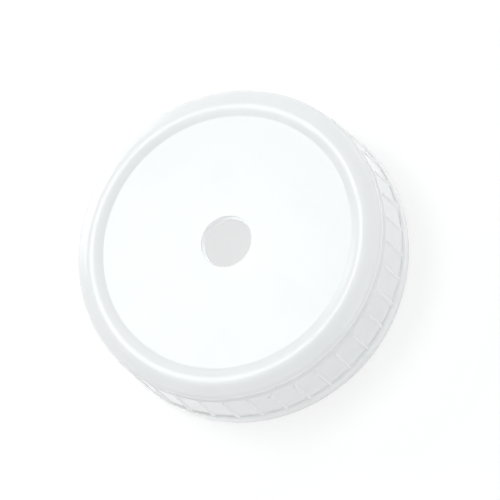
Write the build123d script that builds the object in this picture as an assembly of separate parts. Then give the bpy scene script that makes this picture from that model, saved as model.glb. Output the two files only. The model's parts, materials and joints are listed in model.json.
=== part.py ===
from build123d import *
import os
from math import cos, radians, sin, tan

# Screw lid for a jar, with a round hole for a straw in its centre panel.
# It is one moulded piece. The axis is +Z, the rim stands on z = 0, and sizes are in millimetres.

# The jar's neck that the lid screws on to
jar_thread_radius = 34.9        # crest of the jar's own thread
jar_clearance = 0.7             # from that crest to the lid's bore
mouth_clearance = 0.9           # extra room in the plain land at the mouth

# Centre panel and straw hole
panel_height = 19.6             # from the rim to the panel's top
panel_thickness = 2.0
straw_hole_radius = 6.1
straw_hole_edge = 0.25          # rounding of the hole's top edge

# Raised rim round the panel
rim_rise = 0.65                 # crest above the panel
rim_inner_width = 1.9           # slope from the panel to the crest
rim_crest_width = 1.4
rim_outer_width = 3.7           # from the crest to the shoulder's side
rim_outer_slope = 21.0          # degrees below level, from the crest to the shoulder

# Rounded shoulder and the groove under it
shoulder_depth = 2.4            # lowest point of the shoulder's side, under the panel's top
shoulder_blend = 1.4
undercut_width = 0.25           # first facet of the shoulder's turn inwards
undercut_height = 0.55
groove_depth = 0.5              # from the shoulder's side to the bottom of the groove
groove_height = 0.95            # from the shoulder's side down to the bottom of the groove
groove_flank = 60.0             # degrees, from the groove out to the flats

# Skirt: a ring of drafted flats with a thin upright rib on each corner
skirt_wall = 2.0                # from the bore to the middle of a flat, at the groove
skirt_draft = 2.0               # degrees
rib_count = 40
rib_height = 0.3                # how far a rib stands out of its corner
rib_base_width = 1.0
rib_crest_width = 0.3
rib_top_drop = 5.4              # from the panel's top to the end of a rib
rib_end_run = 0.5               # slope at that end

# Plain hem round the mouth, with a fine seam over it
hem_height = 4.0
hem_edge = 0.35                 # chamfer at the mouth
hem_top_edge = 0.2              # chamfer at the seam
seam_height = 0.12
seam_depth = 0.5

# Inside: seat for the jar's lip, bore, mouth and thread
seat_slope_run = 1.4            # width of the slope from the panel's underside to the seat
seat_width = 1.5
seat_outer_run = 2.1            # from the seat out to the bore
seat_outer_drop = 1.25          # and down to it
land_height = 2.4
mouth_chamfer = 0.5
land_step = 0.3                 # height of the slope between the land and the bore
thread_pitch = 5.08
thread_turns = 1.25
thread_start = 4.4              # height of the thread's middle where it starts
thread_depth = 1.3
thread_base = 2.6
thread_crest = 0.9
thread_fade = 0.1               # share of a turn in which each end rises out of the wall
thread_sections = 32
thread_root_bury = 0.4          # how deep the thread's root lies in the wall

# Sizes that follow from those above
bore_radius = jar_thread_radius + jar_clearance
land_radius = bore_radius + mouth_clearance
flat_top_radius = bore_radius + skirt_wall
shoulder_radius = flat_top_radius
crest_outer_radius = shoulder_radius - rim_outer_width
crest_inner_radius = crest_outer_radius - rim_crest_width
rim_foot_radius = crest_inner_radius - rim_inner_width
groove_radius = shoulder_radius - groove_depth
side_z = panel_height - shoulder_depth
groove_z = side_z - groove_height
flats_base_z = hem_height + seam_height
half_step = 180.0 / rib_count
flat_base_radius = flat_top_radius + (groove_z - flats_base_z) * tan(radians(skirt_draft))
hem_radius = flat_base_radius / cos(radians(half_step)) + rib_height
underside_z = panel_height - panel_thickness


def turned(points):
    # A solid turned about the axis from a closed section of (radius, height) points
    outline = Polyline([(radius, 0, height) for radius, height in points], close=True)
    return revolve(make_face(outline), Axis.Z)


def turned_with_blends(points, blends):
    # The same, with a rounding radius at each named corner of the section
    outline = Polyline([(radius, 0, height) for radius, height in points], close=True)
    section = make_face(outline)
    for index, blend in blends:
        radius, height = points[index]
        corner = section.vertices().sort_by_distance((radius, 0, height))[0]
        section = fillet(corner, blend)
    return revolve(section, Axis.Z)


def shoulder_and_panel():
    # Panel, raised rim and rounded shoulder over a plain core that reaches the seam
    crest_z = panel_height + rim_rise
    fall = rim_outer_width * tan(radians(rim_outer_slope))
    points = [
        (0, hem_height),
        (0, panel_height),
        (rim_foot_radius, panel_height),
        (crest_inner_radius, crest_z),
        (crest_outer_radius, crest_z),
        (shoulder_radius, crest_z - fall),
        (shoulder_radius, side_z),
        (shoulder_radius - undercut_width, side_z - undercut_height),
        (groove_radius, groove_z),
        (groove_radius, hem_height),
    ]
    return turned_with_blends(points, [(5, shoulder_blend)])


def flat_ring_section(flat_radius, height):
    # Regular polygon whose flats lie at flat_radius and whose first corner is on +X
    corner_radius = flat_radius / cos(radians(half_step))
    return Plane.XY.offset(height) * RegularPolygon(corner_radius, rib_count)


def skirt_flats():
    # Drafted flats from the seam up to the groove, where a cone ends them
    flats = loft([
        flat_ring_section(flat_base_radius, flats_base_z),
        flat_ring_section(flat_top_radius, groove_z),
    ], ruled=True)
    reach = hem_radius + groove_depth
    flank_fall = (reach - groove_radius) * tan(radians(groove_flank))
    envelope = turned([
        (0, flats_base_z),
        (reach, flats_base_z),
        (reach, groove_z - flank_fall),
        (groove_radius, groove_z),
        (0, groove_z),
    ])
    return flats & envelope


def skirt_corner(height):
    # Radius of the skirt's corners at a height
    flat = flat_top_radius + (groove_z - height) * tan(radians(skirt_draft))
    return flat / cos(radians(half_step))


def rib():
    # One rib on +X: a trapezium run up along the skirt's corner, cut to its side view
    half_base = rib_base_width / 2
    half_crest = rib_crest_width / 2
    base_radius = skirt_corner(flats_base_z)
    foot = base_radius - 2 * rib_height
    plan = [
        (foot, -half_base),
        (base_radius, -half_base),
        (base_radius + rib_height, -half_crest),
        (base_radius + rib_height, half_crest),
        (base_radius, half_base),
        (foot, half_base),
    ]
    level = make_face(Polyline([(x, y, flats_base_z) for x, y in plan], close=True))
    top_z = panel_height - rib_top_drop
    tip_z = top_z + rib_end_run
    run = Vector(skirt_corner(tip_z) - base_radius, 0, tip_z - flats_base_z)
    bar = extrude(level, amount=run.length, dir=run.normalized())
    inside = skirt_corner(tip_z) - 3 * rib_height
    side = [
        (inside, flats_base_z),
        (base_radius + rib_height, flats_base_z),
        (skirt_corner(top_z) + rib_height, top_z),
        (skirt_corner(tip_z), tip_z),
        (inside, tip_z),
    ]
    outline = make_face(Polyline([(x, -half_base, z) for x, z in side], close=True))
    return bar & extrude(outline, amount=rib_base_width, dir=(0, 1, 0))


def ribs():
    # One thin rib on each corner of the skirt
    first = rib()
    return [Rot(0, 0, 2 * half_step * index) * first for index in range(rib_count)]


def hem():
    # Plain band round the mouth, and the core behind the seam
    return turned([
        (0, 0),
        (hem_radius - hem_edge, 0),
        (hem_radius, hem_edge),
        (hem_radius, hem_height - hem_top_edge),
        (hem_radius - hem_top_edge, hem_height),
        (hem_radius - seam_depth, hem_height),
        (hem_radius - seam_depth, flats_base_z),
        (0, flats_base_z),
    ])


def cavity():
    # Space inside the lid: seat for the jar's lip, bore, land and chamfered mouth
    seat_z = underside_z + rim_rise
    seat_out = bore_radius - seat_outer_run
    seat_in = seat_out - seat_width
    return turned([
        (0, 0),
        (0, underside_z),
        (seat_in - seat_slope_run, underside_z),
        (seat_in, seat_z),
        (seat_out, seat_z),
        (bore_radius, seat_z - seat_outer_drop),
        (bore_radius, land_height + land_step),
        (land_radius, land_height),
        (land_radius, mouth_chamfer),
        (land_radius + mouth_chamfer, 0),
    ])


def thread_section(turn):
    # Section of the thread after a share of its turns, square to the bore's wall
    ends = min(turn, thread_turns - turn) / thread_fade
    rise = min(1.0, ends)
    middle = thread_start + turn * thread_pitch
    root_radius = bore_radius + thread_root_bury
    crest_radius = bore_radius + thread_root_bury / 2
    crest_radius -= rise * (thread_depth + thread_root_bury / 2)
    flank_run = (thread_base - thread_crest) / 2
    root_half = thread_base / 2 + flank_run * thread_root_bury / thread_depth
    crest_half = thread_crest / 2
    points = [
        (root_radius, middle - root_half),
        (crest_radius, middle - crest_half),
        (crest_radius, middle + crest_half),
        (root_radius, middle + root_half),
    ]
    angle = radians(360 * turn)
    corners = [(radius * cos(angle), radius * sin(angle), height) for radius, height in points]
    return make_face(Polyline(corners, close=True))


def thread():
    # Right-hand thread on the bore, its ends rising out of the wall
    turns = [thread_turns * index / thread_sections for index in range(thread_sections + 1)]
    return loft([thread_section(turn) for turn in turns])


def straw_hole():
    # Plain round hole through the panel, its top edge eased
    edge = straw_hole_radius + straw_hole_edge
    return turned([
        (0, 0),
        (straw_hole_radius, 0),
        (straw_hole_radius, panel_height - straw_hole_edge),
        (edge, panel_height),
        (edge, panel_height + rim_rise),
        (0, panel_height + rim_rise),
    ])


def lid():
    # The whole lid as one solid
    body = shoulder_and_panel() + skirt_flats() + hem()
    body = body.fuse(*ribs())
    body = body - cavity()
    body = body + thread()
    return body - straw_hole()


os.makedirs("parts", exist_ok=True)
part = lid()
part.label = "lid"
export_step(part, "parts/lid.step")
print("lid volume mm3", round(part.volume, 1), "solids", len(part.solids()), "valid", part.is_valid)
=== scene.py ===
import json
from math import atan2, ceil, cos, hypot, pi, radians, sin, tan

import bpy
from bpy.props import FloatProperty, FloatVectorProperty, IntProperty, PointerProperty
from mathutils import Matrix, Vector


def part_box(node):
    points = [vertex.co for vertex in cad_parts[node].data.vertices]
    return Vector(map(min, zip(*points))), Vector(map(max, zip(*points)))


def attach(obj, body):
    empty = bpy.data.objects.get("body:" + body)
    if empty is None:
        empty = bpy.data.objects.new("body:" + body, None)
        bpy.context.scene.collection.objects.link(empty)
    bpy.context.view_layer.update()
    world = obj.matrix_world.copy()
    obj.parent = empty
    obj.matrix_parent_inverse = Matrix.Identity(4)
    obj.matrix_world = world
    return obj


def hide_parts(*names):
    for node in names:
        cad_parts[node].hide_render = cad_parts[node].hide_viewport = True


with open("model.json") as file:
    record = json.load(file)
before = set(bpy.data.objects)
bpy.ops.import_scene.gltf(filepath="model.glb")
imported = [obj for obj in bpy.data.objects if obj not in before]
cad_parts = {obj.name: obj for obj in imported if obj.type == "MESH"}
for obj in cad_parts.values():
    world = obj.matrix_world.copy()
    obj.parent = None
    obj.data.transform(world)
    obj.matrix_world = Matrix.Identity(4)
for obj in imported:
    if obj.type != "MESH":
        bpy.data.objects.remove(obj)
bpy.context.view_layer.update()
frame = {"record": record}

bl_info = {
    "name": "Jar lid with straw hole",
    "version": (1, 0, 0),
    "blender": (4, 5, 0),
    "location": "View3D > Sidebar > Jar Lid",
    "description": "Makes a moulded screw lid with a straw hole, its plastic and its stage",
    "category": "Add Mesh",
}

LID_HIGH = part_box("lid")[1]
MOUNTS = {mount["name"]: mount for mount in frame["record"]["mounts"]}
SLOTS = {material["slot"]: material for material in frame["record"]["materials"]}


def length(name, description, default):
    """A size in metres that a user may change"""
    return FloatProperty(name=name, description=description, default=default, min=0.0,
                         unit="LENGTH", precision=5)


def mount_radius(name):
    """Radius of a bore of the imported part, in metres"""
    return MOUNTS[name]["dims"]["r_mm"] / 1000


# ---------------------------------------------------------------- sizes and colours

class JarLidPanel(bpy.types.PropertyGroup):
    """Centre panel, straw hole and raised rim"""

    height: length("Panel height", "From the rim to the panel's top", 0.0196)
    thickness: length("Panel thickness", "Thickness of the centre panel", 0.0020)
    hole_radius: length("Hole radius", "Radius of the straw hole", mount_radius("straw_hole"))
    hole_edge: length("Hole edge", "Rounding of the hole's top edge", 0.00025)
    foot_radius: length("Rim foot radius", "Where the raised rim leaves the panel", 0.0308)
    crest_inner: length("Crest inner radius", "Inner edge of the rim's crest", 0.0327)
    crest_outer: length("Crest outer radius", "Outer edge of the rim's crest", 0.0345)
    rise: length("Rim rise", "Crest of the rim above the panel", 0.00065)
    foot_blend: length("Foot blend", "Rounding at the rim's foot", 0.0012)
    fall: FloatProperty(name="Outer slope", description="Fall from the crest to the shoulder",
                        default=radians(24.6), min=0.0, subtype="ANGLE")


class JarLidShoulder(bpy.types.PropertyGroup):
    """Rounded shoulder and the groove under it"""

    radius: length("Shoulder radius", "Radius of the shoulder's side", 0.0376)
    depth: length("Shoulder depth", "Lowest point of its side, under the panel's top", 0.0024)
    blend: length("Shoulder blend", "Rounding of the shoulder", 0.0014)
    undercut_width: length("Undercut width", "Width of the shoulder's turn inwards", 0.00025)
    undercut_height: length("Undercut height", "Height of that turn", 0.00055)
    lower_blend: length("Lower blend", "Rounding under the shoulder", 0.0012)
    groove_radius: length("Groove radius", "Bottom of the groove", 0.0371)
    groove_height: length("Groove height", "Height of the groove's bottom", 0.01625)
    groove_blend: length("Groove blend", "Rounding in the groove's bottom", 0.00015)
    flank: FloatProperty(name="Groove flank", description="Slope from the groove to the flats",
                         default=radians(60.0), min=0.1, subtype="ANGLE")


class JarLidSkirt(bpy.types.PropertyGroup):
    """Ring of flats with a thin rib on each corner, and the plain hem under it"""

    rib_count: IntProperty(name="Ribs", description="Ribs, and flats, round the skirt",
                           default=40, min=3)
    flat_radius: length("Flat radius", "Axis to a flat, at the groove", 0.0376)
    draft: FloatProperty(name="Draft", description="How much the flats lean out downwards",
                         default=radians(2.0), min=0.0, subtype="ANGLE")
    rib_height: length("Rib height", "How far a rib stands out of its corner", 0.0003)
    rib_base: length("Rib base width", "Width of a rib where it leaves the flats", 0.0010)
    rib_crest: length("Rib crest width", "Width of a rib at its crest", 0.0003)
    rib_top: length("Rib top", "Height at which a rib starts to end", 0.0142)
    rib_end: length("Rib end", "Height of the slope that ends a rib", 0.0005)
    hem_height: length("Hem height", "Height of the plain hem", 0.0040)
    hem_radius: length("Hem radius", "Radius of the plain hem", LID_HIGH[0])
    hem_edge: length("Hem edge", "Rounding at the mouth", 0.0003)
    hem_top_edge: length("Hem top edge", "Width of the soft slope at the seam", 0.00036)
    hem_top_drop: length("Hem top drop", "Height of that slope", 0.0008)
    seam_height: length("Seam height", "Gap between the hem and the flats", 0.00004)
    seam_depth: length("Seam depth", "How deep the seam lies in the hem", 0.00039)


class JarLidInside(bpy.types.PropertyGroup):
    """Seat for the jar's lip, bore, mouth and thread"""

    bore_radius: length("Bore radius", "Root radius of the thread", 0.0356)
    land_radius: length("Land radius", "Plain land at the mouth", mount_radius("jar_mouth"))
    land_height: length("Land height", "Height of the plain land", 0.0024)
    land_step: length("Land step", "Height of the slope above the land", 0.0003)
    mouth_chamfer: length("Mouth chamfer", "Chamfer at the mouth", 0.0005)
    seat_inner: length("Seat inner radius", "Inner edge of the seat", 0.0320)
    seat_outer: length("Seat outer radius", "Outer edge of the seat", 0.0335)
    seat_slope: length("Seat slope", "Width of the slope inside the seat", 0.0014)
    seat_drop: length("Seat drop", "Fall from the seat to the bore", 0.00125)
    thread_pitch: length("Thread pitch", "Rise of the thread in one turn", 0.00508)
    thread_turns: FloatProperty(name="Thread turns", description="Length of the thread",
                                default=1.25, min=0.1)
    thread_start: length("Thread start", "Height at which the thread starts", 0.0044)
    thread_depth: length("Thread depth", "How far the thread stands in", 0.0013)
    thread_base: length("Thread base", "Width of the thread at the bore", 0.0026)
    thread_crest: length("Thread crest", "Width of the thread at its crest", 0.0009)
    thread_bury: length("Thread root", "How deep the thread's root lies in the wall", 0.0004)
    thread_fade: FloatProperty(name="Thread fade", description="Share of a turn in each end",
                               default=0.1, min=0.01)
    thread_round: length("Thread rounding", "Rounding along the thread's crest", 0.00018)


class JarLidPlastic(bpy.types.PropertyGroup):
    """Colours and gloss of the white plastic"""

    colour: FloatVectorProperty(name="Plastic", description="Colour of the white plastic",
                                size=3, subtype="COLOR", min=0.0, max=1.0,
                                default=SLOTS["white_plastic"]["base_color"])
    shade: FloatVectorProperty(name="Flow tone", description="Colour of its faint flow marks",
                               size=3, subtype="COLOR", min=0.0, max=1.0,
                               default=(0.875, 0.89, 0.895))
    speck: FloatVectorProperty(name="Speck", description="Colour of the tiny dark specks",
                               size=3, subtype="COLOR", min=0.0, max=1.0,
                               default=(0.42, 0.41, 0.40))
    roughness: FloatProperty(name="Roughness", description="Roughness of the moulded surface",
                             default=0.20, min=0.0, max=1.0)
    depth: length("Light depth", "How far light spreads inside the plastic", 0.0012)
    ripple: length("Surface ripple", "Depth of the mould's faint ripple", 0.00001)


class JarLidStage(bpy.types.PropertyGroup):
    """Floor, light and camera"""

    floor_size: length("Floor size", "Width of the floor", 6.0)
    floor_colour: FloatVectorProperty(name="Floor", description="Colour of the pale floor",
                                      size=3, subtype="COLOR", min=0.0, max=1.0,
                                      default=(0.9, 0.9, 0.9))
    floor_glow: FloatProperty(name="Floor share", description="Share of plain white in the floor",
                              default=0.48, min=0.0, max=1.0)
    floor_white: FloatProperty(name="Floor white", description="Strength of that plain white",
                               default=1.22, min=0.0)
    ambient: FloatProperty(name="Ambient", description="Strength of the even light",
                           default=0.576, min=0.0)
    lamp_colour: FloatVectorProperty(name="Lamps", description="Colour of the cool soft lamps",
                                     size=3, subtype="COLOR", min=0.0, max=1.0,
                                     default=(0.945, 0.98, 1.0))
    lamp_distance: length("Lamp distance", "From the axis to each soft lamp", 1.0)
    inner_power: FloatProperty(name="Inner light", description="Light that the panel lets through",
                               default=0.0014, min=0.0, unit="POWER")
    table_size: length("Table light size", "Width of the bright table round the lid", 0.09)
    table_power: FloatProperty(name="Table light", description="Light from the bright table",
                               default=0.0038, min=0.0, unit="POWER")
    azimuth: FloatProperty(name="Camera azimuth", description="Direction of the camera",
                           default=radians(-85.2), subtype="ANGLE")
    elevation: FloatProperty(name="Camera elevation", description="Height angle of the camera",
                             default=radians(63.8), subtype="ANGLE")
    roll: FloatProperty(name="Camera roll", description="Turn of the camera about its own line",
                        default=radians(49.0), subtype="ANGLE")
    distance: length("Camera distance", "From the camera to the panel", 1.165)
    aside: FloatProperty(name="Camera aside", description="Camera's step to its right",
                         default=0.0055, unit="LENGTH")
    down: FloatProperty(name="Camera down", description="Camera's step downwards",
                        default=0.0020, unit="LENGTH")
    lens: FloatProperty(name="Lens", description="Focal length of the camera",
                        default=360.0, min=1.0, unit="CAMERA")


# ---------------------------------------------------------------- nodes as expressions

class Wire:
    """A node's output, on which maths is written as an expression"""

    def __init__(self, board, socket):
        self.board = board
        self.socket = socket

    def maths(self, operation, *values):
        """One Math node on these values"""
        node = self.board.add("ShaderNodeMath", {"operation": operation},
                              dict(enumerate(values)))
        return Wire(self.board, node.outputs[0])

    def __add__(self, other):
        return self.maths("ADD", self, other)

    def __radd__(self, other):
        return self.maths("ADD", other, self)

    def __sub__(self, other):
        return self.maths("SUBTRACT", self, other)

    def __rsub__(self, other):
        return self.maths("SUBTRACT", other, self)

    def __mul__(self, other):
        return self.maths("MULTIPLY", self, other)

    def __rmul__(self, other):
        return self.maths("MULTIPLY", other, self)

    def __truediv__(self, other):
        return self.maths("DIVIDE", self, other)

    def __rtruediv__(self, other):
        return self.maths("DIVIDE", other, self)

    def __mod__(self, other):
        return self.maths("FLOORED_MODULO", self, other)

    def __lt__(self, other):
        return self.maths("LESS_THAN", self, other)

    def __gt__(self, other):
        return self.maths("GREATER_THAN", self, other)

    def __abs__(self):
        return self.maths("ABSOLUTE", self)

    def least(self, other):
        """The smaller of two values"""
        return self.maths("MINIMUM", self, other)

    def most(self, other):
        """The larger of two values"""
        return self.maths("MAXIMUM", self, other)

    def ramp(self, low, high):
        """Smooth rise from 0 at low to 1 at high"""
        node = self.board.add("ShaderNodeMapRange",
                              {"interpolation_type": "SMOOTHSTEP"},
                              {"Value": self, "From Min": low, "From Max": high})
        return Wire(self.board, node.outputs["Result"])


class Board:
    """One node tree, to which nodes are added"""

    def __init__(self, tree):
        self.tree = tree
        tree.nodes.clear()

    def add(self, kind, settings=None, values=None):
        """A node of one kind: its settings first, then a value or a link for each socket"""
        node = self.tree.nodes.new(kind)
        for name, setting in (settings or {}).items():
            setattr(node, name, setting)
        for name, value in (values or {}).items():
            if isinstance(value, Wire):
                self.tree.links.new(value.socket, node.inputs[name])
            elif value is not None:
                node.inputs[name].default_value = value
        return node

    def out(self, kind, settings=None, values=None, output=0):
        """The same, as a wire from one of its outputs"""
        return Wire(self, self.add(kind, settings, values).outputs[output])

    def function(self, operation, value):
        """A Math function of one value"""
        return self.out("ShaderNodeMath", {"operation": operation}, {0: value})

    def vector(self, x, y, z):
        """A vector from three values"""
        return self.out("ShaderNodeCombineXYZ", None, {"X": x, "Y": y, "Z": z})

    def blend(self, factor, first, second):
        """A colour between two colours"""
        node = self.add("ShaderNodeMix", {"data_type": "RGBA"},
                        {0: factor, 6: first, 7: second})
        return Wire(self, node.outputs[2])


# ---------------------------------------------------------------- section of the lid

GUARD = 0.00012                 # a row this far from each rounding keeps the long faces true
GUARD_ROOM = 4                  # on sides this many times as long as rounding and guard
REACH_SHARE = 0.66              # most that a rounding takes of each side
STRAIGHT = 1e-4                 # corners that turn less get no rounding
SAME_HEIGHT = 1e-9
WIDE_BLEND = 0.001              # roundings over this radius have the finer step
ARC_STEP = radians(7.5)         # turn between two rows of a wide rounding
SMALL_STEP = radians(20.0)      # and of a small one

# Plain rows across the panel and its underside, by radius
PANEL_ROWS = (0.0120, 0.0180, 0.0245)
UNDERSIDE_ROWS = (0.0200, 0.0120)

# Small roundings along the edges, by radius
HOLE_LOWER_BLEND = 0.0001
SEAM_BLEND = 0.00006
HEM_LIP_BLEND = 0.00008
HEM_SLOPE_BLEND = 0.0006
MOUTH_BLEND = 0.00012
LAND_BLEND = 0.00015
BORE_BLEND = 0.0004
SEAT_BLEND = 0.0003

# Rows down the skirt
CONE_DROPS = (-0.00003, 0.0, 0.00005, 0.0001, 0.00015, 0.0002, 0.00026)
FLAT_TOP_DROP = 0.00034         # first row on the flats, under the cone
TIP_ROOM = 0.00025              # plain row above the ribs' ends
TIP_SHARES = (0.0, 0.25, 0.5, 0.75)
RIB_ROOM = 0.0002               # plain row below them
FLAT_LEVELS = (0.0120, 0.0090, 0.0065)
BEYOND = 0.002                  # past the hem, so that the flats and ribs set the radius
LOWER_EDGE = 0.00002            # rounding of the flats' lower edge
LOWER_EDGE_STEPS = 3


def rounded(corners):
    """The section's rows: each corner (radius, height, blend) becomes an arc of rows"""
    rows = []
    count = len(corners)
    for index, (radius, height, blend) in enumerate(corners):
        here = Vector((radius, height))
        before = Vector(corners[index - 1][:2]) - here
        after = Vector(corners[(index + 1) % count][:2]) - here
        turn = pi - before.angle(after)
        if blend <= 0 or turn < STRAIGHT:
            rows.append(here)
            continue
        reach = min(blend * tan(turn / 2),
                    REACH_SHARE * before.length, REACH_SHARE * after.length)
        blend = reach / tan(turn / 2)
        start = here + before.normalized() * reach
        end = here + after.normalized() * reach
        inwards = (before.normalized() + after.normalized()).normalized()
        centre = here + inwards * hypot(reach, blend)
        room = GUARD_ROOM * (reach + GUARD)
        if before.length > room:
            rows.append(start + before.normalized() * GUARD)
        steps = max(2, ceil(turn / (ARC_STEP if blend > WIDE_BLEND else SMALL_STEP)))
        first, last = start - centre, end - centre
        for step in range(steps + 1):
            share = step / steps
            weight = sin((1 - share) * turn) / sin(turn), sin(share * turn) / sin(turn)
            rows.append(centre + first * weight[0] + last * weight[1])
        if after.length > room:
            rows.append(end + after.normalized() * GUARD)
    return rows


def crest_corner(panel, crest):
    """Where the rim's two slopes would meet, and the rounding that brings them to the crest"""
    climb = atan2(panel.rise, panel.crest_inner - panel.foot_radius)
    across = panel.crest_outer - panel.crest_inner
    inner = across * tan(panel.fall) / (tan(climb) + tan(panel.fall))
    over = inner * tan(climb)
    lean = cos((panel.fall - climb) / 2) / cos((panel.fall + climb) / 2)
    return panel.crest_inner + inner, crest + over, over / (lean - 1)


def lid_section(lid):
    """Closed section of the lid: rows of (radius, height, skirt, inset)"""
    panel, shoulder, skirt, inside = lid.panel, lid.shoulder, lid.skirt, lid.inside
    crest = panel.height + panel.rise
    fall = (shoulder.radius - panel.crest_outer) * tan(panel.fall)
    underside = panel.height - panel.thickness
    seat = underside + panel.rise
    side = panel.height - shoulder.depth
    flats_base = skirt.hem_height + skirt.seam_height
    seam_radius = skirt.hem_radius - skirt.seam_depth
    flank = shoulder.groove_height
    flank -= (skirt.flat_radius - shoulder.groove_radius) * tan(shoulder.flank)
    section = rounded([
        (panel.hole_radius, underside, HOLE_LOWER_BLEND),
        (panel.hole_radius, panel.height, panel.hole_edge),
        *((radius, panel.height, 0) for radius in PANEL_ROWS),
        (panel.foot_radius, panel.height, panel.foot_blend),
        crest_corner(panel, crest),
        (shoulder.radius, crest - fall, shoulder.blend),
        (shoulder.radius, side, shoulder.lower_blend),
        (shoulder.radius - shoulder.undercut_width, side - shoulder.undercut_height,
         shoulder.lower_blend),
        (shoulder.groove_radius, shoulder.groove_height, shoulder.groove_blend),
        (skirt.flat_radius, flank, 0),
        (skirt.flat_radius, flats_base, 0),
        (seam_radius, flats_base, SEAM_BLEND),
        (seam_radius, skirt.hem_height, SEAM_BLEND),
        (skirt.hem_radius - skirt.hem_top_edge, skirt.hem_height, HEM_LIP_BLEND),
        (skirt.hem_radius, skirt.hem_height - skirt.hem_top_drop, HEM_SLOPE_BLEND),
        (skirt.hem_radius, 0, skirt.hem_edge),
        (inside.land_radius + inside.mouth_chamfer, 0, MOUTH_BLEND),
        (inside.land_radius, inside.mouth_chamfer, MOUTH_BLEND),
        (inside.land_radius, inside.land_height, LAND_BLEND),
        (inside.bore_radius, inside.land_height + inside.land_step, LAND_BLEND),
        (inside.bore_radius, seat - inside.seat_drop, BORE_BLEND),
        (inside.seat_outer, seat, SEAT_BLEND),
        (inside.seat_inner, seat, SEAT_BLEND),
        (inside.seat_inner - inside.seat_slope, underside, SEAT_BLEND),
        *((radius, underside, 0) for radius in UNDERSIDE_ROWS),
    ])
    top = next(i for i, row in enumerate(section) if abs(row.y - flank) < SAME_HEIGHT)
    turned = [(row.x, row.y, 0.0, 0.0) for row in section]
    return turned[:top] + skirt_rows(lid, flank, flats_base) + turned[top + 2:]


def skirt_rows(lid, flank, flats_base):
    """Rows down the flats: the cone that ends them on top, the ribs' ends, and the lower edge"""
    skirt, shoulder = lid.skirt, lid.shoulder
    wide = skirt.hem_radius + BEYOND
    rows = []
    for drop in CONE_DROPS:
        level = flank - drop
        reach = shoulder.groove_radius + (shoulder.groove_height - level) / tan(shoulder.flank)
        rows.append((reach, level, 1.0, 0.0))
    tip = skirt.rib_top + skirt.rib_end
    levels = [flank - FLAT_TOP_DROP, tip + TIP_ROOM]
    levels += [tip - share * skirt.rib_end for share in TIP_SHARES]
    levels += [skirt.rib_top, skirt.rib_top - RIB_ROOM, *FLAT_LEVELS]
    rows += [(wide, level, 1.0, 0.0) for level in levels]
    for step in range(LOWER_EDGE_STEPS + 1):
        turn = step / LOWER_EDGE_STEPS * pi / 2
        level = flats_base + LOWER_EDGE * (1 - sin(turn))
        rows.append((wide, level, 1.0, LOWER_EDGE * (1 - cos(turn))))
    return rows


def section_mesh(rows):
    """The section as a closed loop of edges that carries what the tree reads"""
    mesh = bpy.data.meshes.new("lid_section")
    points = [(row[0], 0.0, row[1]) for row in rows]
    edges = [(index, (index + 1) % len(points)) for index in range(len(points))]
    mesh.from_pydata(points, edges, [])
    for column, name in enumerate(("reach", "level", "skirt", "inset")):
        attribute = mesh.attributes.new(name, "FLOAT", "POINT")
        attribute.data.foreach_set("value", [row[column] for row in rows])
    return mesh


# ---------------------------------------------------------------- geometry nodes

SHELL_INPUTS = [
    ("Rib count", "NodeSocketInt"),
    ("Rib height", "NodeSocketFloat"),
    ("Rib base width", "NodeSocketFloat"),
    ("Rib crest width", "NodeSocketFloat"),
    ("Rib top", "NodeSocketFloat"),
    ("Rib end", "NodeSocketFloat"),
    ("Flat radius", "NodeSocketFloat"),
    ("Flat draft", "NodeSocketFloat"),
    ("Groove height", "NodeSocketFloat"),
    ("Bore radius", "NodeSocketFloat"),
    ("Thread pitch", "NodeSocketFloat"),
    ("Thread turns", "NodeSocketFloat"),
    ("Thread start", "NodeSocketFloat"),
    ("Thread depth", "NodeSocketFloat"),
    ("Thread base width", "NodeSocketFloat"),
    ("Thread crest width", "NodeSocketFloat"),
    ("Thread root", "NodeSocketFloat"),
    ("Thread fade", "NodeSocketFloat"),
    ("Thread rounding", "NodeSocketFloat"),
    ("Plastic", "NodeSocketMaterial"),
]
PATH_RADIUS = 0.03              # any circle: its points are placed afterwards
RIB_COLUMNS = 9                 # points of the path across one rib
FLAT_COLUMNS = 5                # and across one flat
RIB_GUARD = 0.0016              # radians from a rib's foot to the flat's first point
THREAD_ROWS = 240
THREAD_CORNER_ROWS = 4
CRISP_ANGLE = radians(60)       # sharper edges keep their own shading
KEPT_NAMES = ("angle", "level", "reach", "skirt", "inset", "turn", "depth", "side")


def stored(board, geometry, name, value):
    """Geometry with a value kept on its points under a name"""
    return board.out("GeometryNodeStoreNamedAttribute",
                     {"data_type": "FLOAT", "domain": "POINT"},
                     {"Geometry": geometry, "Name": name, "Value": value})


def kept(board, name):
    """A value that was kept on the points"""
    return board.out("GeometryNodeInputNamedAttribute", {"data_type": "FLOAT"}, {"Name": name})


def shell_path(board, size):
    """Closed path round the axis whose points lie on the ribs' edges and across the flats"""
    columns = RIB_COLUMNS + FLAT_COLUMNS
    circle = board.out("GeometryNodeCurvePrimitiveCircle", {"mode": "RADIUS"},
                       {"Resolution": size["Rib count"] * columns, "Radius": PATH_RADIUS})
    index = board.out("GeometryNodeInputIndex")
    pitch = 2 * pi / size["Rib count"]
    place = index % columns
    rib = (index - place) / columns
    half = size["Rib base width"] / (2 * size["Flat radius"])
    guard = half + RIB_GUARD
    across = half * (place / ((RIB_COLUMNS - 1) / 2) - 1)
    spare = place - RIB_COLUMNS
    flat = guard + spare * (pitch - 2 * guard) / (FLAT_COLUMNS - 1)
    on_flat = place > RIB_COLUMNS - 0.5
    angle = rib * pitch + across + on_flat * (flat - across)
    return stored(board, circle, "angle", angle)


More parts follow.
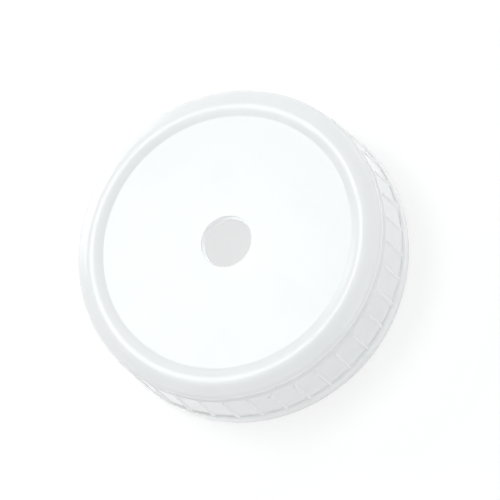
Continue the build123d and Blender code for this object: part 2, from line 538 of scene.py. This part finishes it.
def shell_surface(board, size, section):
    """The section run round the path, then moved out to the flats and the ribs"""
    profile = board.out("GeometryNodeMeshToCurve", None, {"Mesh": section})
    swept = board.out("GeometryNodeCurveToMesh", None,
                      {"Curve": shell_path(board, size), "Profile Curve": profile})
    angle = kept(board, "angle")
    level = kept(board, "level")
    reach = kept(board, "reach")
    pitch = 2 * pi / size["Rib count"]
    off_rib = (angle + pitch / 2) % pitch - pitch / 2
    off_flat = pitch / 2 - abs(off_rib)
    lean = board.function("TANGENT", size["Flat draft"])
    apothem = size["Flat radius"] + (size["Groove height"] - level) * lean
    flat = apothem / board.function("COSINE", off_flat)
    corner = apothem / board.function("COSINE", pitch / 2)
    aside = abs(board.function("SINE", off_rib) * corner)
    wide = size["Rib base width"] / 2
    narrow = size["Rib crest width"] / 2
    rise = ((wide - aside) / (wide - narrow)).ramp(0.0, 1.0)
    tip = size["Rib top"] + size["Rib end"]
    end = ((tip - level) / size["Rib end"]).ramp(0.0, 1.0)
    skirt = reach.least(flat + size["Rib height"] * rise * end) - kept(board, "inset")
    radius = reach + kept(board, "skirt") * (skirt - reach)
    place = board.vector(radius * board.function("COSINE", angle),
                         radius * board.function("SINE", angle), level)
    return board.out("GeometryNodeSetPosition", None, {"Geometry": swept, "Position": place})


def thread_surface(board, size):
    """Right-hand thread: a rounded section run up the bore, its ends rising out of the wall"""
    line = board.out("GeometryNodeCurvePrimitiveLine")
    path = board.out("GeometryNodeResampleCurve", None, {"Curve": line, "Count": THREAD_ROWS})
    share = board.out("GeometryNodeSplineParameter")
    path = stored(board, path, "turn", share * size["Thread turns"])
    box = board.out("GeometryNodeCurvePrimitiveQuadrilateral", {"mode": "RECTANGLE"},
                    {"Width": size["Thread depth"], "Height": size["Thread base width"]})
    profile = board.out("GeometryNodeFilletCurve", {"mode": "POLY"},
                        {"Curve": box, "Count": THREAD_CORNER_ROWS,
                         "Radius": size["Thread rounding"]})
    spot = board.add("ShaderNodeSeparateXYZ", None,
                     {"Vector": board.out("GeometryNodeInputPosition")})
    depth = Wire(board, spot.outputs["X"]) / size["Thread depth"] + 0.5
    side = Wire(board, spot.outputs["Y"]) / size["Thread base width"] * 2
    profile = stored(board, profile, "depth", depth)
    profile = stored(board, profile, "side", side)
    swept = board.out("GeometryNodeCurveToMesh", None,
                      {"Curve": path, "Profile Curve": profile, "Fill Caps": True})
    turn = kept(board, "turn")
    depth = kept(board, "depth")
    bury = size["Thread root"]
    ends = turn.least(size["Thread turns"] - turn) / size["Thread fade"]
    rise = ends.most(0.0).least(1.0)
    root = size["Bore radius"] + bury
    stand = bury / 2 + rise * (size["Thread depth"] + bury / 2)
    crest_half = size["Thread crest width"] / 2
    base_half = size["Thread base width"] / 2
    root_half = base_half + (base_half - crest_half) * bury / size["Thread depth"]
    half = root_half + depth * (crest_half - root_half)
    radius = root - depth * stand
    level = size["Thread start"] + turn * size["Thread pitch"] + kept(board, "side") * half
    angle = turn * (2 * pi)
    place = board.vector(radius * board.function("COSINE", angle),
                         radius * board.function("SINE", angle), level)
    return board.out("GeometryNodeSetPosition", None, {"Geometry": swept, "Position": place})


def lid_tree():
    """The tree that makes the lid from its section"""
    tree = bpy.data.node_groups.new("jar lid shell", "GeometryNodeTree")
    board = Board(tree)
    tree.interface.new_socket("Section", in_out="INPUT", socket_type="NodeSocketGeometry")
    for name, kind in SHELL_INPUTS:
        tree.interface.new_socket(name, in_out="INPUT", socket_type=kind)
    tree.interface.new_socket("Lid", in_out="OUTPUT", socket_type="NodeSocketGeometry")
    entry = board.add("NodeGroupInput")
    size = {socket.name: Wire(board, socket) for socket in entry.outputs if socket.name}
    join = board.add("GeometryNodeJoinGeometry")
    for part in (shell_surface(board, size, size["Section"]), thread_surface(board, size)):
        tree.links.new(part.socket, join.inputs[0])
    lid = Wire(board, join.outputs[0])
    angle = board.out("GeometryNodeInputMeshEdgeAngle")
    smooth = board.out("GeometryNodeSetShadeSmooth", {"domain": "FACE"},
                       {"Geometry": lid, "Shade Smooth": True})
    crisp = board.out("GeometryNodeSetShadeSmooth", {"domain": "EDGE"},
                      {"Geometry": smooth, "Shade Smooth": angle < CRISP_ANGLE})
    real = board.out("GeometryNodeRealizeInstances", None, {"Geometry": crisp})
    for name in KEPT_NAMES:
        real = board.out("GeometryNodeRemoveAttribute", None, {"Geometry": real, "Name": name})
    finished = board.out("GeometryNodeSetMaterial", None,
                         {"Geometry": real, "Material": size["Plastic"]})
    board.add("NodeGroupOutput", None, {0: finished})
    return tree


def set_inputs(modifier, values):
    """Give a modifier its inputs by their sockets' identifiers"""
    for item in modifier.node_group.interface.items_tree:
        if item.item_type == "SOCKET" and item.in_out == "INPUT" and item.name in values:
            modifier[item.identifier] = values[item.name]


def made_plain(builder, name):
    """A plain mesh object from an object whose modifier has done its work"""
    graph = bpy.context.evaluated_depsgraph_get()
    mesh = bpy.data.meshes.new_from_object(builder.evaluated_get(graph))
    mesh.name = name
    bpy.data.objects.remove(builder)
    if not mesh.polygons:
        raise RuntimeError("the lid's mesh came out empty")
    piece = bpy.data.objects.new(name, mesh)
    bpy.context.scene.collection.objects.link(piece)
    return piece


# ---------------------------------------------------------------- plastic

# Tiny dark specks: place on the lid and radius
SPECKS = [
    ((-0.01485, -0.03455, 0.01735), 0.00030),
    ((-0.01400, -0.03485, 0.01750), 0.00022),
    ((-0.01802, -0.03318, 0.01322), 0.00034),
]
SPECK_CORE = 0.4                # share of a speck's radius that is fully dark

FLOW_NOISE = {"Scale": 90.0, "Detail": 3.0, "Roughness": 0.55}
FINE_NOISE = {"Scale": 1400.0, "Detail": 2.0, "Roughness": 0.5}
NOISE_MIDDLE = 0.5
FLOW_MARKS = (0.42, 0.72)       # flow noise at which a mark starts, and at which it is full
FLOW_SHARE = 0.5                # of the flow tone in a full mark
FLOW_GLOSS = 0.10               # how much each noise changes the roughness
FINE_GLOSS = 0.05
FLOW_RIPPLE = 2                 # weight of the flow noise in the ripple, beside the fine one
RIPPLE_STRENGTH = 0.35
PLASTIC_IOR = 1.49


def white_plastic(look):
    """Glossy white moulded plastic with a faint ripple, flow marks and tiny dark specks"""
    material = bpy.data.materials.new("white_plastic_moulded")
    material.use_nodes = True
    board = Board(material.node_tree)
    place = board.out("ShaderNodeTexCoord", None, None, "Object")
    flow = board.out("ShaderNodeTexNoise", None, {"Vector": place, **FLOW_NOISE})
    fine = board.out("ShaderNodeTexNoise", None, {"Vector": place, **FINE_NOISE})
    tone = board.blend(flow.ramp(*FLOW_MARKS) * FLOW_SHARE,
                       (*look.colour, 1.0), (*look.shade, 1.0))
    for spot, size in SPECKS:
        away = board.out("ShaderNodeVectorMath", {"operation": "DISTANCE"},
                         {0: place, 1: spot}, "Value")
        mark = 1 - away.ramp(SPECK_CORE * size, size)
        tone = board.blend(mark, tone, (*look.speck, 1.0))
    roughness = look.roughness + (flow - NOISE_MIDDLE) * FLOW_GLOSS
    roughness = roughness + (fine - NOISE_MIDDLE) * FINE_GLOSS
    bump = board.out("ShaderNodeBump", None,
                     {"Strength": RIPPLE_STRENGTH, "Distance": look.ripple,
                      "Height": fine + flow * FLOW_RIPPLE})
    surface = board.out("ShaderNodeBsdfPrincipled", None,
                        {"Base Color": tone, "Roughness": roughness, "IOR": PLASTIC_IOR,
                         "Subsurface Weight": 1.0, "Subsurface Radius": (1.0, 1.0, 1.0),
                         "Subsurface Scale": look.depth, "Normal": bump})
    board.add("ShaderNodeOutputMaterial", None, {"Surface": surface})
    return material


# ---------------------------------------------------------------- operators

class OBJECT_OT_jar_lid_shell(bpy.types.Operator):
    """Make the lid: section, flats, ribs and thread, in white plastic"""

    bl_idname = "object.jar_lid_shell"
    bl_label = "Make Lid"

    def execute(self, context):
        lid = context.scene.jar_lid
        rows = lid_section(lid)
        builder = bpy.data.objects.new("lid_builder", section_mesh(rows))
        context.scene.collection.objects.link(builder)
        modifier = builder.modifiers.new("lid shell", "NODES")
        modifier.node_group = lid_tree()
        skirt, shoulder, inside = lid.skirt, lid.shoulder, lid.inside
        set_inputs(modifier, {
            "Rib count": skirt.rib_count,
            "Rib height": skirt.rib_height,
            "Rib base width": skirt.rib_base,
            "Rib crest width": skirt.rib_crest,
            "Rib top": skirt.rib_top,
            "Rib end": skirt.rib_end,
            "Flat radius": skirt.flat_radius,
            "Flat draft": skirt.draft,
            "Groove height": shoulder.groove_height,
            "Bore radius": inside.bore_radius,
            "Thread pitch": inside.thread_pitch,
            "Thread turns": inside.thread_turns,
            "Thread start": inside.thread_start,
            "Thread depth": inside.thread_depth,
            "Thread base width": inside.thread_base,
            "Thread crest width": inside.thread_crest,
            "Thread root": inside.thread_bury,
            "Thread fade": inside.thread_fade,
            "Thread rounding": inside.thread_round,
            "Plastic": white_plastic(lid.plastic),
        })
        piece = made_plain(builder, "lid_moulding")
        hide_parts("lid")
        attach(piece, "root")
        return {"FINISHED"}


PLAIN_WHITE = (1.0, 1.0, 1.0, 1.0)


def seen_by(board, *kinds):
    """1 where a surface or the world is met by one of these kinds of ray, else 0"""
    rays = board.add("ShaderNodeLightPath")
    seen = Wire(board, rays.outputs[kinds[0]])
    for kind in kinds[1:]:
        seen = seen.most(Wire(board, rays.outputs[kind]))
    return seen


def floor_material(stage):
    """Pale floor: part plain white to the camera, part lit, so that it keeps the shadow"""
    material = bpy.data.materials.new("pale_floor")
    material.use_nodes = True
    board = Board(material.node_tree)
    lit = board.out("ShaderNodeBsdfDiffuse", None, {"Color": (*stage.floor_colour, 1.0)})
    glow = board.out("ShaderNodeEmission", None,
                     {"Color": PLAIN_WHITE, "Strength": stage.floor_white})
    seen = seen_by(board, "Is Camera Ray", "Is Glossy Ray", "Is Transmission Ray")
    surface = board.out("ShaderNodeMixShader", None,
                        {0: seen * stage.floor_glow, 1: lit, 2: glow})
    board.add("ShaderNodeOutputMaterial", None, {"Surface": surface})
    return material


def white_world(stage):
    """Even light all round, plain white where the camera sees it"""
    world = bpy.data.worlds.new("even_light")
    world.use_nodes = True
    board = Board(world.node_tree)
    seen = seen_by(board, "Is Camera Ray", "Is Transmission Ray")
    strength = stage.ambient + seen * (1.0 - stage.ambient)
    light = board.out("ShaderNodeBackground", None,
                      {"Color": PLAIN_WHITE, "Strength": strength})
    board.add("ShaderNodeOutputWorld", None, {"Surface": light})
    return world


def camera_axes(stage):
    """The camera's right, up and backward directions"""
    azimuth, elevation = stage.azimuth, stage.elevation
    back = Vector((cos(elevation) * cos(azimuth), cos(elevation) * sin(azimuth), sin(elevation)))
    level = Vector((-sin(azimuth), cos(azimuth), 0.0))
    upright = back.cross(level)
    right = level * cos(stage.roll) - upright * sin(stage.roll)
    up = upright * cos(stage.roll) + level * sin(stage.roll)
    return right, up, back


# Lamps: name, turn from the camera's azimuth and elevation in degrees, power
LAMPS = [
    ("back_high_soft", 195.0, 66.0, 1.65),
    ("back_left_high_soft", 240.0, 66.0, 0.45),
    ("back_steep_soft", 180.0, 60.0, 0.20),
    ("left_steep_soft", 270.0, 73.0, 0.15),
    ("back_left_soft", 195.0, 25.0, 1.32),
    ("near_right_soft", 15.0, 25.0, 1.06),
    ("right_soft", 105.0, 25.0, 1.09),
    ("low_back_soft", 180.0, 12.0, 0.70),
]
LAMP_SIZE = 0.4
PANEL_LIGHT_SHARE = 0.8         # width of the lamp under the panel, by the bore's radius
PANEL_LIGHT_HEIGHT = 0.001
TABLE_LIGHT_HEIGHT = 0.0005
SENSOR_WIDTH = 36.0
CLIP_START, CLIP_END = 0.01, 20.0


class OBJECT_OT_jar_lid_stage(bpy.types.Operator):
    """Lay the floor, light the lid and place the camera"""

    bl_idname = "object.jar_lid_stage"
    bl_label = "Set Stage"

    def execute(self, context):
        stage = context.scene.jar_lid.stage
        half = stage.floor_size / 2
        mesh = bpy.data.meshes.new("floor")
        corners = [(-half, -half, 0), (half, -half, 0), (half, half, 0), (-half, half, 0)]
        mesh.from_pydata(corners, [], [(0, 1, 2, 3)])
        mesh.materials.append(floor_material(stage))
        floor = bpy.data.objects.new("floor", mesh)
        context.scene.collection.objects.link(floor)
        context.scene.world = white_world(stage)
        for name, turn, elevation, power in LAMPS:
            azimuth = stage.azimuth + radians(turn)
            high = radians(elevation)
            aim = Vector((cos(high) * cos(azimuth), cos(high) * sin(azimuth), sin(high)))
            self.add_lamp(context, name, aim * stage.lamp_distance, aim, LAMP_SIZE, power)
        inside = context.scene.jar_lid.inside
        down = Vector((0.0, 0.0, -1.0))
        self.add_lamp(context, "light_through_the_panel",
                      Vector((0.0, 0.0, PANEL_LIGHT_HEIGHT)), down,
                      PANEL_LIGHT_SHARE * inside.bore_radius, stage.inner_power)
        self.add_lamp(context, "light_from_the_table",
                      Vector((0.0, 0.0, TABLE_LIGHT_HEIGHT)), down,
                      stage.table_size, stage.table_power)
        self.add_camera(context, stage)
        context.scene.view_settings.view_transform = "Standard"
        return {"FINISHED"}

    def add_lamp(self, context, name, place, back, size, power):
        """One round soft lamp, its back turned to a direction"""
        data = bpy.data.lights.new(name, "AREA")
        data.shape = "DISK"
        data.size = size
        data.energy = power
        data.color = context.scene.jar_lid.stage.lamp_colour
        lamp = bpy.data.objects.new(name, data)
        lamp.location = place
        lamp.rotation_euler = back.to_track_quat("Z", "Y").to_euler()
        lamp.visible_camera = False
        context.scene.collection.objects.link(lamp)

    def add_camera(self, context, stage):
        """The camera at the angle of the product picture"""
        right, up, back = camera_axes(stage)
        data = bpy.data.cameras.new("camera")
        data.sensor_width = SENSOR_WIDTH
        data.lens = stage.lens
        data.clip_start = CLIP_START
        data.clip_end = CLIP_END
        camera = bpy.data.objects.new("camera", data)
        target = Vector((0.0, 0.0, context.scene.jar_lid.panel.height))
        place = target + back * stage.distance + right * stage.aside - up * stage.down
        turn = Matrix((right, up, back)).transposed()
        camera.matrix_world = Matrix.Translation(place) @ turn.to_4x4()
        context.scene.collection.objects.link(camera)
        context.scene.camera = camera


# ---------------------------------------------------------------- panel and registration

class JarLidSettings(bpy.types.PropertyGroup):
    """All sizes and colours of the lid and its stage"""

    panel: PointerProperty(type=JarLidPanel)
    shoulder: PointerProperty(type=JarLidShoulder)
    skirt: PointerProperty(type=JarLidSkirt)
    inside: PointerProperty(type=JarLidInside)
    plastic: PointerProperty(type=JarLidPlastic)
    stage: PointerProperty(type=JarLidStage)


class VIEW3D_PT_jar_lid(bpy.types.Panel):
    """Sizes and operators of the jar lid"""

    bl_idname = "VIEW3D_PT_jar_lid"
    bl_label = "Jar Lid"
    bl_space_type = "VIEW_3D"
    bl_region_type = "UI"
    bl_category = "Jar Lid"

    def draw(self, context):
        lid = context.scene.jar_lid
        for group in (lid.panel, lid.shoulder, lid.skirt, lid.inside, lid.plastic, lid.stage):
            box = self.layout.box()
            for name in group.__annotations__:
                box.prop(group, name)
        self.layout.operator(OBJECT_OT_jar_lid_shell.bl_idname)
        self.layout.operator(OBJECT_OT_jar_lid_stage.bl_idname)


CLASSES = (
    JarLidPanel,
    JarLidShoulder,
    JarLidSkirt,
    JarLidInside,
    JarLidPlastic,
    JarLidStage,
    JarLidSettings,
    OBJECT_OT_jar_lid_shell,
    OBJECT_OT_jar_lid_stage,
    VIEW3D_PT_jar_lid,
)


def register():
    """Add the classes and the settings to Blender"""
    for cls in CLASSES:
        bpy.utils.register_class(cls)
    bpy.types.Scene.jar_lid = PointerProperty(type=JarLidSettings)


def unregister():
    """Take them out again"""
    del bpy.types.Scene.jar_lid
    for cls in reversed(CLASSES):
        bpy.utils.unregister_class(cls)


def main():
    """Make the lid and its stage"""
    register()
    bpy.ops.object.jar_lid_shell()
    bpy.ops.object.jar_lid_stage()


if __name__ == "__main__":
    main()
